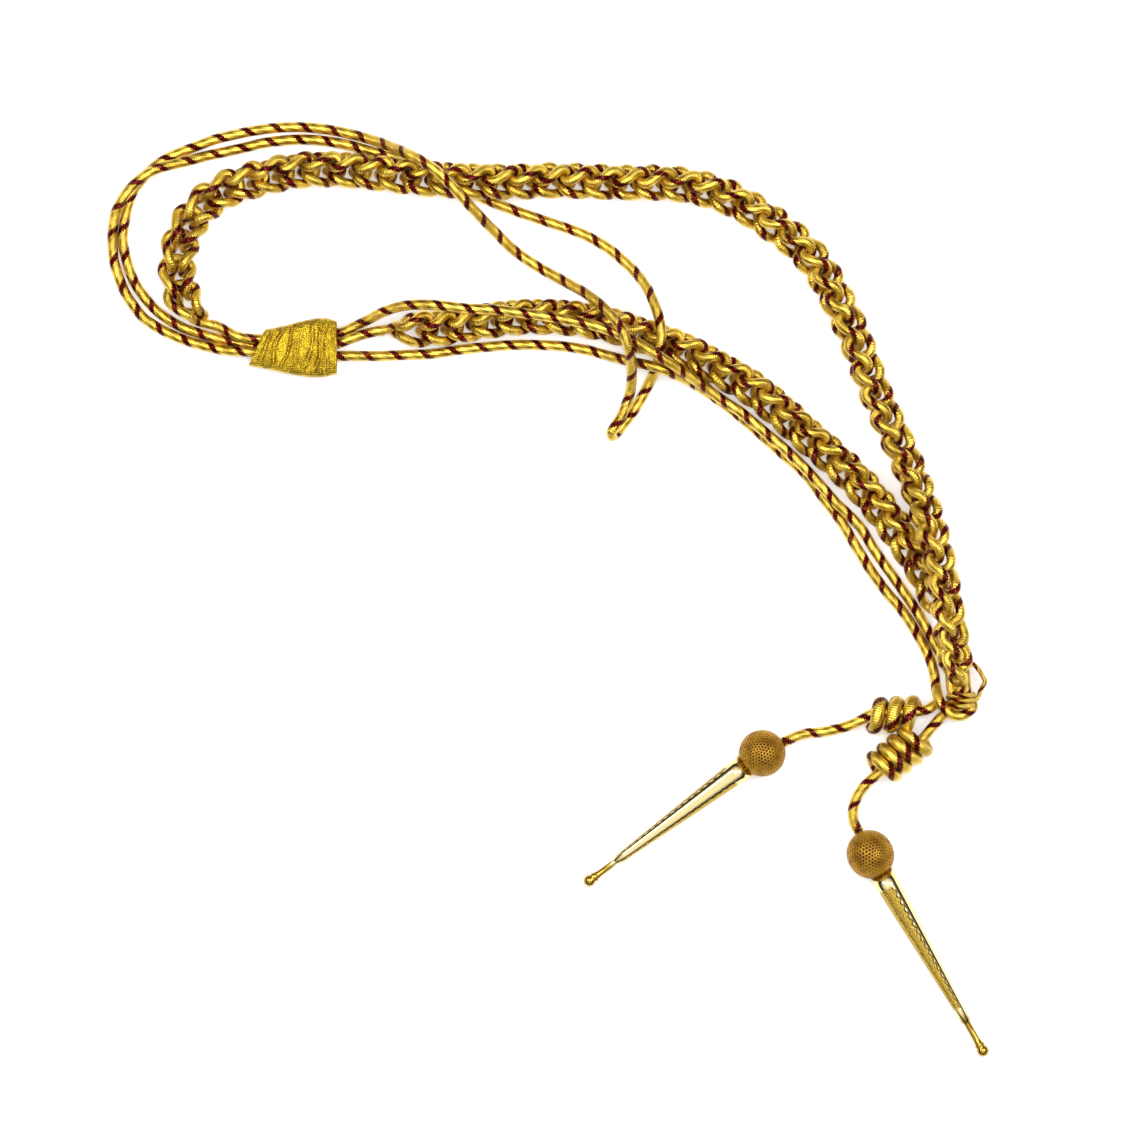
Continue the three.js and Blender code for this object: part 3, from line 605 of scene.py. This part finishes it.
def ball_core_material():
    """The dark brown covering of the ball under its net."""
    material, tree, shader = new_material("brown ball core")
    objects = add_node(tree, "ShaderNodeTexCoord").outputs["Object"]
    colour = mixed_colour(tree, noise_value(tree, objects, 600), CORE_DARK, CORE_BROWN)
    tree.links.new(colour, shader.inputs["Base Color"])
    shader.inputs["Metallic"].default_value = 0.2
    shader.inputs["Roughness"].default_value = 0.7
    bumped(tree, shader, noise_value(tree, objects, 3000), 0.0001, 0.5)
    return material


POLISHED_GILT = (0.88, 0.71, 0.34)
ENGRAVED_GILT = (0.58, 0.38, 0.06)
# Near-black line along each engraved panel's edge: partly an engraved border, partly a painted dark
# reflection that darkens the tag's sides.
BORDER_AND_PAINTED_REFLECTION = (0.06, 0.035, 0.01)
NECK_GILT = (0.48, 0.3, 0.05)
# Panels round a tag, and the length and depth of one scallop of their edges
PANELS = 2.0
SCALLOP_LENGTH = 0.0042
SCALLOP_DEPTH = 0.05


def tag_material():
    """Polished gilt with engraved panels. The UV map holds metres along the tag and share of a turn."""
    material, tree, shader = new_material("polished engraved gilt")
    place = add_node(tree, "ShaderNodeUVMap", uv_map="UVMap").outputs[0]
    apart = add_node(tree, "ShaderNodeSeparateXYZ", place)
    along, turn = apart.outputs[0], apart.outputs[1]
    panel = calculate(tree, "FRACT", calculate(tree, "MULTIPLY", turn, PANELS))
    off_middle = calculate(tree, "ABSOLUTE", calculate(tree, "SUBTRACT", panel, 0.5))
    scallop = calculate(tree, "MULTIPLY", wave(tree, along, SCALLOP_LENGTH), SCALLOP_DEPTH)
    edge = calculate(tree, "SUBTRACT", off_middle, scallop)
    engraved = calculate(tree, "SUBTRACT", 1.0, between(tree, edge, 0.21, 0.22))
    in_taper = calculate(
        tree,
        "MULTIPLY",
        between(tree, along, 0.018, 0.02),
        calculate(tree, "SUBTRACT", 1.0, between(tree, along, 0.088, 0.09)),
    )
    engraved = calculate(tree, "MULTIPLY", engraved, in_taper)
    # A dark line where engraving meets polish: partly the engraved border, partly a painted dark reflection.
    from_border = calculate(tree, "ABSOLUTE", calculate(tree, "SUBTRACT", edge, 0.225))
    border_and_painted_reflection = calculate(tree, "SUBTRACT", 1.0, between(tree, from_border, 0.022, 0.04))
    border_and_painted_reflection = calculate(tree, "MULTIPLY", border_and_painted_reflection, in_taper)
    objects = add_node(tree, "ShaderNodeTexCoord").outputs["Object"]
    cuts = add_node(tree, "ShaderNodeTexVoronoi", objects, feature="DISTANCE_TO_EDGE")
    cuts.inputs["Scale"].default_value = 900
    cut = between(tree, cuts.outputs[0], 0.02, 0.12)
    colour = mixed_colour(tree, engraved, POLISHED_GILT, ENGRAVED_GILT)
    colour = mixed_colour(tree, calculate(tree, "MULTIPLY", border_and_painted_reflection, 0.9), colour, BORDER_AND_PAINTED_REFLECTION)
    colour = mixed_colour(tree, between(tree, along, 0.091, 0.096), colour, NECK_GILT)
    tree.links.new(colour, shader.inputs["Base Color"])
    shader.inputs["Metallic"].default_value = 1
    rough = calculate(tree, "MULTIPLY_ADD", engraved, 0.16, 0.1)
    tree.links.new(rough, shader.inputs["Roughness"])
    height = calculate(tree, "MULTIPLY", calculate(tree, "SUBTRACT", cut, 1.0), engraved)
    step = calculate(tree, "MULTIPLY", engraved, -0.6)
    bumped(tree, shader, calculate(tree, "ADD", height, step), 0.00015, 0.8)
    return material


def floor_material():
    material, tree, shader = new_material("pale table")
    objects = add_node(tree, "ShaderNodeTexCoord").outputs["Object"]
    colour = mixed_colour(
        tree,
        noise_value(tree, objects, 3),
        stage_settings().floor_colour,
        [channel * 0.99 for channel in stage_settings().floor_colour],
    )
    tree.links.new(colour, shader.inputs["Base Color"])
    shader.inputs["Roughness"].default_value = 0.9
    shader.inputs["Emission Color"].default_value = (1, 1, 1, 1)
    shader.inputs["Emission Strength"].default_value = stage_settings().floor_glow
    return material


MATERIALS = {
    "cord": gimp_cord_material,
    "lace": lace_material,
    "net": net_material,
    "core": ball_core_material,
    "tag": tag_material,
}
made_materials = {}


def material_for(use):
    """Makes each material once."""
    if use not in made_materials:
        made_materials[use] = MATERIALS[use]()
    return made_materials[use]


# Pieces


# The surroundings brighten between these two heights of the view.
DIM_BELOW = 0.3
BRIGHT_ABOVE = 0.95


class AIGUILLETTE_OT_stage(bpy.types.Operator):
    """Sets up the floor, the camera straight above and the soft lights"""

    bl_idname = "aiguillette.stage"
    bl_label = "Stage"

    def execute(self, context):
        settings = stage_settings()
        scene = context.scene
        scene.view_settings.view_transform = "Standard"

        floor = bmesh.new()
        bmesh.ops.create_grid(floor, x_segments=1, y_segments=1, size=4)
        bmesh.ops.translate(floor, verts=floor.verts, vec=(0, 0, -0.0001))
        finish_mesh("pale_floor", floor, [floor_material()], smooth=False)

        camera = bpy.data.cameras.new("camera_above")
        camera.sensor_width = 36
        camera.lens = camera.sensor_width * settings.camera_height / PICTURE_WIDTH
        viewer = bpy.data.objects.new("camera_above", camera)
        viewer.location = (*PICTURE_MIDDLE, settings.camera_height)
        scene.collection.objects.link(viewer)
        scene.camera = viewer

        lights = (
            ("softbox_left", (-1.3, 0.5, 1.7), 0.6, settings.side_light),
            ("softbox_right", (1.3, 0.3, 1.7), 0.6, settings.side_light),
            ("softbox_above", (0.1, 0.2, 2.2), 0.8, settings.top_light),
        )
        for name, place, size, power in lights:
            light = bpy.data.lights.new(name, "AREA")
            light.shape = "SQUARE"
            light.size = size
            light.energy = power
            lamp = bpy.data.objects.new(name, light)
            lamp.location = place
            lamp.rotation_euler = (-Vector(place)).to_track_quat("-Z", "Y").to_euler()
            scene.collection.objects.link(lamp)

        scene.world = bpy.data.worlds.new("soft surroundings")
        scene.world.use_nodes = True
        tree = scene.world.node_tree
        heading = add_node(tree, "ShaderNodeTexCoord").outputs["Generated"]
        upward = add_node(tree, "ShaderNodeSeparateXYZ", heading).outputs[2]
        brightness = add_node(
            tree,
            "ShaderNodeMapRange",
            upward,
            DIM_BELOW,
            BRIGHT_ABOVE,
            settings.horizon,
            settings.zenith,
            interpolation_type="SMOOTHSTEP",
        )
        tree.links.new(brightness.outputs[0], tree.nodes["Background"].inputs["Strength"])
        tree.nodes["Background"].inputs["Color"].default_value = (1, 1, 1, 1)
        return {"FINISHED"}


# Where a cord goes on out of sight, past the end of its solid
TUCKED_ENDS = {
    "arm_cord_under": ((0.2105, -0.0563, 0.009), (0.2075, -0.0553, 0.0086)),
    "button_eye": ((0.2127, -0.0545, 0.0088), (0.21, -0.0552, 0.0094), (0.2065, -0.0553, 0.0098)),
}

FREE_CORDS = (
    # name, route, solid, real length
    ("shoulder_loop", SHOULDER_LOOP, "shoulder_loop_cord", 1.039),
    ("arm_cord_over", ARM_UPPER, "arm_cord_upper", 0.423),
    ("arm_cord_under", ARM_LOWER, "arm_cord_lower", 0.443),
    ("left_tag_hanger", TAG_CORD_LEFT, "tag_cord_left", 0.085),
    ("right_tag_hanger", TAG_CORD_RIGHT, "tag_cord_right", 0.084),
)


class AIGUILLETTE_OT_free_cords(bpy.types.Operator):
    """Makes the plain cords: the shoulder loop, the two arm cords and the cords of the tags"""

    bl_idname = "aiguillette.free_cords"
    bl_label = "Free cords"

    def execute(self, context):
        diameter = sizes().diameter
        for name, route, solid, length in FREE_CORDS:
            line = smooth_line([*route, *TUCKED_ENDS.get(name, ())], CORD_STEPS)
            piece = dressed(cord_tube(name, line, diameter, material_for("cord")), "gilt_cord", solid)
        return {"FINISHED"}


class AIGUILLETTE_OT_plaits(bpy.types.Operator):
    """Works one cord into the long plait and one into the short plait, each with its plain tail"""

    bl_idname = "aiguillette.plaits"
    bl_label = "Plaits"

    def execute(self, context):
        size = sizes()
        for name, route, lead in (
            ("long_plait", LONG_PLAIT, LONG_PLAIT_LEAD),
            ("short_plait", SHORT_PLAIT, SHORT_PLAIT_LEAD),
        ):
            line = plait_line(route, lead, PLAIT_STEPS)
            piece = cord_tube(name + "_work", line, size.plait_diameter, material_for("cord"))
            dressed(piece, "gilt_cord", name)
        for name, route in (("long_plait_tail", LONG_TAIL), ("short_plait_tail", SHORT_TAIL)):
            line = smooth_line(route, CORD_STEPS)
            piece = cord_tube(name + "_work", line, size.diameter, material_for("cord"))
            dressed(piece, "gilt_cord", name)
        return {"FINISHED"}


COILS = (
    # Each is a cord wound round a level axis. Turn start is how far round the first point is.
    {
        "name": "upper_knot_wraps",
        "solid": "knot_upper",
        "start": (0.1835, -0.0616, 0.0082),
        "end": (0.1605, -0.0628, 0.0082),
        "side": 0.0068,
        "up": 0.0056,
        "pitch": 0.008,
        "hand": -1,
        "turn_start": 0.25,
        "wrap": 0.0068,
        "thick": 0.00524,
    },
    {
        "name": "lower_knot_wraps",
        "solid": "knot_lower",
        "start": (0.1848, -0.0735, 0.0088),
        "end": (0.1642, -0.0902, 0.0088),
        "side": 0.0079,
        "up": 0.0059,
        "pitch": 0.0066,
        "hand": 1,
        "turn_start": -0.25,
        "wrap": 0.0062,
        "thick": 0.00524,
    },
    {
        "name": "gather_wraps",
        "solid": "gather_lashing",
        "start": (0.2052, -0.0515, 0.0086),
        "end": (0.2052, -0.0593, 0.0086),
        "side": 0.0066,
        "up": 0.0066,
        "pitch": 0.0026,
        "hand": 1,
        "turn_start": -0.25,
        "wrap": 0.0025,
        "thick": 0.0023,
    },
)


# The cord ends inside the lashing
BUNDLE_STRANDS = (
    ((0.1998, -0.038, 0.005), (0.2003, -0.048, 0.0075), (0.2022, -0.0585, 0.0086)),
    ((0.2035, -0.037, 0.006), (0.2042, -0.0475, 0.01), (0.2052, -0.0595, 0.0086)),
    ((0.207, -0.038, 0.005), (0.208, -0.048, 0.0078), (0.2078, -0.0585, 0.0086)),
    ((0.205, -0.0395, 0.0032), (0.2052, -0.05, 0.0045), (0.2052, -0.0585, 0.0062)),
)


def coil_line(coil, steps_per_turn=36):
    """The line of a cord wound round a level axis, and its outward direction at each point."""
    start, end = Vector(coil["start"]), Vector(coil["end"])
    length = (end - start).length
    ahead = (end - start).normalized()
    side = UP.cross(ahead)
    steps = round(length / coil["pitch"] * steps_per_turn)
    line, outward = [], []
    for step in range(steps + 1):
        distance = length * step / steps
        angle = coil["hand"] * 2 * math.pi * (distance / coil["pitch"] + coil["turn_start"])
        out = side * (coil["side"] * math.cos(angle)) + UP * (coil["up"] * math.sin(angle))
        line.append(start + ahead * distance + out)
        outward.append(out.normalized())
    ways = headings(line)
    outward = [(out - way * out.dot(way)).normalized() for out, way in zip(outward, ways)]
    return line, outward


class AIGUILLETTE_OT_knots(bpy.types.Operator):
    """Winds the two barrel knots and the lashing of the gather, and fills the gather with cord ends"""

    bl_idname = "aiguillette.knots"
    bl_label = "Knots and gather"

    def execute(self, context):
        size = sizes()
        for coil in COILS:
            line, outward = coil_line(coil)
            piece = wrapped_tube(
                coil["name"],
                line,
                coil["wrap"],
                coil["thick"],
                outward,
                size.sides,
                material_for("cord"),
            )
            dressed(piece, "gilt_cord", coil["solid"])
        line = smooth_line([*BUTTON_LOOP, *TUCKED_ENDS["button_eye"]], CORD_STEPS)
        eye = cord_tube("button_eye", line, size.eye_diameter, material_for("cord"))
        dressed(eye, "gilt_cord", "button_loop")
        strands = [
            cord_tube(
                "gather_bundle",
                smooth_line(strand, STRAND_STEPS),
                size.plait_diameter,
                material_for("cord"),
            )
            for strand in BUNDLE_STRANDS
        ]
        bundle = strands[0]
        with context.temp_override(active_object=bundle, selected_editable_objects=strands):
            bpy.ops.object.join()
        dressed(bundle, "gilt_cord", "gather_core")
        return {"FINISHED"}


# The lace band from left to right: its share of the full width at each of eight places
BAND_WIDTHS = (0.66, 0.73, 0.81, 0.92, 1, 1.07, 1.07, 0.96)
BAND_PLACES = (0, 0.13, 0.27, 0.42, 0.55, 0.7, 0.86, 1)
BAND_WIDTH = 0.028
BAND_HEIGHT = 0.0126
BAND_LENGTH = 0.0399
BAND_SLANT = 0.0128
BAND_RIGHT_END = -0.1065
BAND_MIDDLE = 0.1211
BAND_WALL = 0.0008
# Folds of the strip: where each crosses the upper edge, the middle and the lower edge, how wide and how high
BAND_FOLDS = (
    (0.05, 0.03, 0.02, 0.03, 0.0003),
    (0.16, 0.1, 0.15, 0.035, 0.0011),
    (0.27, 0.22, 0.3, 0.03, 0.0012),
    (0.36, 0.4, 0.36, 0.02, 0.0009),
    (0.53, 0.5, 0.46, 0.035, 0.0006),
    (0.64, 0.68, 0.6, 0.03, 0.001),
    (0.74, 0.79, 0.73, 0.03, 0.0012),
    (0.86, 0.83, 0.88, 0.025, 0.0009),
    (0.97, 0.94, 0.97, 0.03, 0.0006),
)


def band_width_at(share):
    for left, right, before, after in zip(BAND_PLACES, BAND_PLACES[1:], BAND_WIDTHS, BAND_WIDTHS[1:]):
        if share <= right:
            return before + (after - before) * (share - left) / (right - left)
    return BAND_WIDTHS[-1]


def fold_height(share, across):
    """How far the folds raise the strip, across from -1 at its lower edge to 1 at its upper one."""
    raised = 0
    for top, centre, bottom, width, height in BAND_FOLDS:
        line = centre + (top - bottom) / 2 * across + ((top + bottom) / 2 - centre) * across**2
        line += 0.012 * math.sin(across * 5 + 20 * centre)
        raised += height * math.exp(-(((share - line) / width) ** 2))
    return raised


class AIGUILLETTE_OT_lace(bpy.types.Operator):
    """Wraps the crumpled strip of gold lace round the cords at the left"""

    bl_idname = "aiguillette.lace"
    bl_label = "Lace band"

    def execute(self, context):
        work = bmesh.new()
        bmesh.ops.create_grid(work, x_segments=150, y_segments=130, size=0.5)
        for vertex in work.verts:
            share, turn = vertex.co.x + 0.5, vertex.co.y + 0.5
            angle = 2 * math.pi * turn
            across, up = (math.copysign(abs(v) ** 0.5, v) for v in (math.cos(angle), math.sin(angle)))
            y = BAND_WIDTH * band_width_at(share) * 0.495 * across
            x = BAND_RIGHT_END - (BAND_LENGTH - BAND_SLANT * y / BAND_WIDTH) * (1 - share)
            fine = noise.noise(Vector((share * 26, y * 260, 5.1 + up))) + 0.5 * noise.noise(
                Vector((share * 60, y * 500, 2.3 + up))
            )
            lift = (fold_height(share, across) + 0.00025 * fine) * max(up, 0)
            vertex.co = (x, BAND_MIDDLE + y, BAND_HEIGHT * 0.46 * (up + 1) + 0.0001 + lift)
        bmesh.ops.remove_doubles(work, verts=work.verts, dist=MERGE_DISTANCE)
        bmesh.ops.recalc_face_normals(work, faces=work.faces)
        piece = finish_mesh("lace_strip", work, [material_for("lace")])
        wall = piece.modifiers.new("wall", "SOLIDIFY")
        wall.thickness = BAND_WALL
        wall.offset = -1
        dressed(piece, "gold_lace", "lace_band")
        return {"FINISHED"}


TAG_ENDS = (
    # side, ball centre, heading of the tag, ball radius, long radius, reach to the acorn's centre,
    # how far round the engraved panel is turned
    ("left", (0.106, -0.0815), (-86.5, -64), 0.0117, 0.0117, 0.1076, 0.25),
    ("right", (0.16, -0.132), (56.5, -98.5), 0.01175, 0.01235, 0.1136, 0.125),
)
ACORN_RADIUS = 0.003
NECK_LENGTH = 0.014
NECK_RADIUS = 0.00165
TAPER_ROOT = 0.0061
TAPER_TIP = 0.00225
TAPER_STEPS = 12
TAG_SIDES = 48
FLOOR_GAP = 0.00005
NET_CUTS = 7
# Per cent of each edge that the net's cells take at either end
CELL_REACH = 47


def tag_pose(place, heading, radius, reach):
    """The matrix that lays a ball or tag, made along +Y at the origin, where its solid is."""
    middle = Vector((*place, radius + FLOOR_GAP))
    drop = ACORN_RADIUS + FLOOR_GAP - middle.z
    ahead = Vector((*heading, 0)).normalized() * math.sqrt(reach**2 - drop**2)
    ahead.z = drop
    turn = Vector((0, 1, 0)).rotation_difference(ahead.normalized())
    return Matrix.Translation(middle) @ turn.to_matrix().to_4x4()


class AIGUILLETTE_OT_balls(bpy.types.Operator):
    """Makes the two balls, each with its net of fine gilt thread"""

    bl_idname = "aiguillette.balls"
    bl_label = "Netted balls"

    def execute(self, context):
        for side, place, heading, radius, long_radius, reach, panel_turn in TAG_ENDS:
            work = bmesh.new()
            bmesh.ops.create_icosphere(work, subdivisions=1, radius=radius)
            bmesh.ops.subdivide_edges(work, edges=work.edges, cuts=NET_CUTS, use_grid_fill=True)
            for vertex in work.verts:
                vertex.co = vertex.co.normalized() * radius
            cells = bmesh.ops.bevel(
                work,
                geom=work.verts,
                offset=CELL_REACH,
                offset_type="PERCENT",
                affect="VERTICES",
                segments=1,
                profile=0.5,
                material=-1,
            )["faces"]
            bmesh.ops.inset_individual(work, faces=cells, thickness=radius * 0.002, depth=radius * 0.006)
            bmesh.ops.inset_individual(work, faces=cells, thickness=radius * 0.004, depth=-radius * 0.1)
            for face in cells:
                face.material_index = 1
            bmesh.ops.scale(work, verts=work.verts, vec=(1, long_radius / radius, 1))
            bmesh.ops.transform(work, matrix=tag_pose(place, heading, radius, reach), verts=work.verts)
            piece = finish_mesh("netted_ball_" + side, work, [material_for("net"), material_for("core")])
            rounding = piece.modifiers.new("rounding", "SUBSURF")
            rounding.levels = 1
            rounding.render_levels = 1
            dressed(piece, "net_ball", "tag_ball_" + side)
        return {"FINISHED"}


def tag_outline(radius, long_radius, reach):
    """Radius and distance from the ball's centre down the tag, from its cup to the acorn's tip."""
    gap = 0.0003
    cup = [
        (share * TAPER_ROOT, (long_radius + gap) * math.sqrt(1 - (share * TAPER_ROOT / (radius + gap)) ** 2))
        for share in (0, 0.3, 0.6, 0.85, 1)
    ]
    neck_end = reach - ACORN_RADIUS
    taper_end = neck_end - NECK_LENGTH
    root = cup[-1][1]
    taper = [
        (
            TAPER_ROOT + (TAPER_TIP - TAPER_ROOT) * step / TAPER_STEPS,
            root + (taper_end - root) * step / TAPER_STEPS,
        )
        for step in range(1, TAPER_STEPS + 1)
    ]
    neck = [
        (NECK_RADIUS * 1.12, taper_end + NECK_LENGTH * 0.03),
        (NECK_RADIUS, taper_end + NECK_LENGTH * 0.12),
        (NECK_RADIUS, neck_end - NECK_LENGTH * 0.25),
        (NECK_RADIUS * 1.25, neck_end - NECK_LENGTH * 0.08),
        (NECK_RADIUS * 1.6, neck_end),
    ]
    acorn = [
        (ACORN_RADIUS * math.cos(angle), reach + ACORN_RADIUS * math.sin(angle))
        for angle in (-0.85, -0.5, -0.2, 0.1, 0.4, 0.7, 1.0, 1.3)
    ]
    return [*cup, *taper, *neck, *acorn, (0, reach + ACORN_RADIUS * 1.05)]


class AIGUILLETTE_OT_tags(bpy.types.Operator):
    """Turns the two gilt tags, each a taper with engraved panels, a neck and an acorn"""

    bl_idname = "aiguillette.tags"
    bl_label = "Gilt tags"

    def execute(self, context):
        for side, place, heading, radius, long_radius, reach, panel_turn in TAG_ENDS:
            work = bmesh.new()
            outline = tag_outline(radius, long_radius, reach)
            corners = [work.verts.new((distance_out, down, 0)) for distance_out, down in outline]
            edges = [work.edges.new(pair) for pair in zip(corners, corners[1:])]
            bmesh.ops.spin(
                work,
                geom=corners + edges,
                cent=(0, 0, 0),
                axis=(0, 1, 0),
                dvec=(0, 0, 0),
                angle=2 * math.pi,
                steps=TAG_SIDES,
                use_merge=True,
                use_duplicate=False,
            )
            bmesh.ops.remove_doubles(work, verts=work.verts, dist=MERGE_DISTANCE)
            bmesh.ops.recalc_face_normals(work, faces=work.faces)
            uv = work.loops.layers.uv.new("UVMap")
            for face in work.faces:
                centre = face.calc_center_median()
                middle_turn = math.atan2(centre.z, centre.x) / (2 * math.pi)
                for loop in face.loops:
                    spot = loop.vert.co
                    turn = math.atan2(spot.z, spot.x) / (2 * math.pi)
                    turn += round(middle_turn - turn)
                    loop[uv].uv = (spot.y, turn + panel_turn)
            bmesh.ops.transform(work, matrix=tag_pose(place, heading, radius, reach), verts=work.verts)
            piece = finish_mesh("gilt_tag_" + side, work, [material_for("tag")])
            dressed(piece, "polished_gilt", "tag_spike_" + side)
        return {"FINISHED"}


class AIGUILLETTE_PT_panel(bpy.types.Panel):
    """Lists the aiguillette's sizes, looks and pieces"""

    bl_idname = "AIGUILLETTE_PT_panel"
    bl_label = "Aiguillette"
    bl_space_type = "VIEW_3D"
    bl_region_type = "UI"
    bl_category = "Aiguillette"

    def draw(self, context):
        layout = self.layout
        for group in (sizes(), looks(), stage_settings()):
            box = layout.box()
            for name in group.__annotations__:
                box.prop(group, name)
        for operator in OPERATORS:
            layout.operator(operator.bl_idname)


GROUPS = (CordSizes, CordLooks, StageSettings)
OPERATORS = (
    AIGUILLETTE_OT_stage,
    AIGUILLETTE_OT_free_cords,
    AIGUILLETTE_OT_plaits,
    AIGUILLETTE_OT_knots,
    AIGUILLETTE_OT_lace,
    AIGUILLETTE_OT_balls,
    AIGUILLETTE_OT_tags,
)


def register():
    for item in (*GROUPS, *OPERATORS, AIGUILLETTE_PT_panel):
        bpy.utils.register_class(item)
    bpy.types.Scene.aiguillette_cord = PointerProperty(type=CordSizes)
    bpy.types.Scene.aiguillette_looks = PointerProperty(type=CordLooks)
    bpy.types.Scene.aiguillette_stage = PointerProperty(type=StageSettings)


def unregister():
    del bpy.types.Scene.aiguillette_stage
    del bpy.types.Scene.aiguillette_looks
    del bpy.types.Scene.aiguillette_cord
    for item in reversed((*GROUPS, *OPERATORS, AIGUILLETTE_PT_panel)):
        bpy.utils.unregister_class(item)


def main():
    register()
    bpy.ops.aiguillette.stage()
    bpy.ops.aiguillette.free_cords()
    bpy.ops.aiguillette.plaits()
    bpy.ops.aiguillette.knots()
    bpy.ops.aiguillette.lace()
    bpy.ops.aiguillette.balls()
    bpy.ops.aiguillette.tags()


if __name__ == "__main__":
    main()
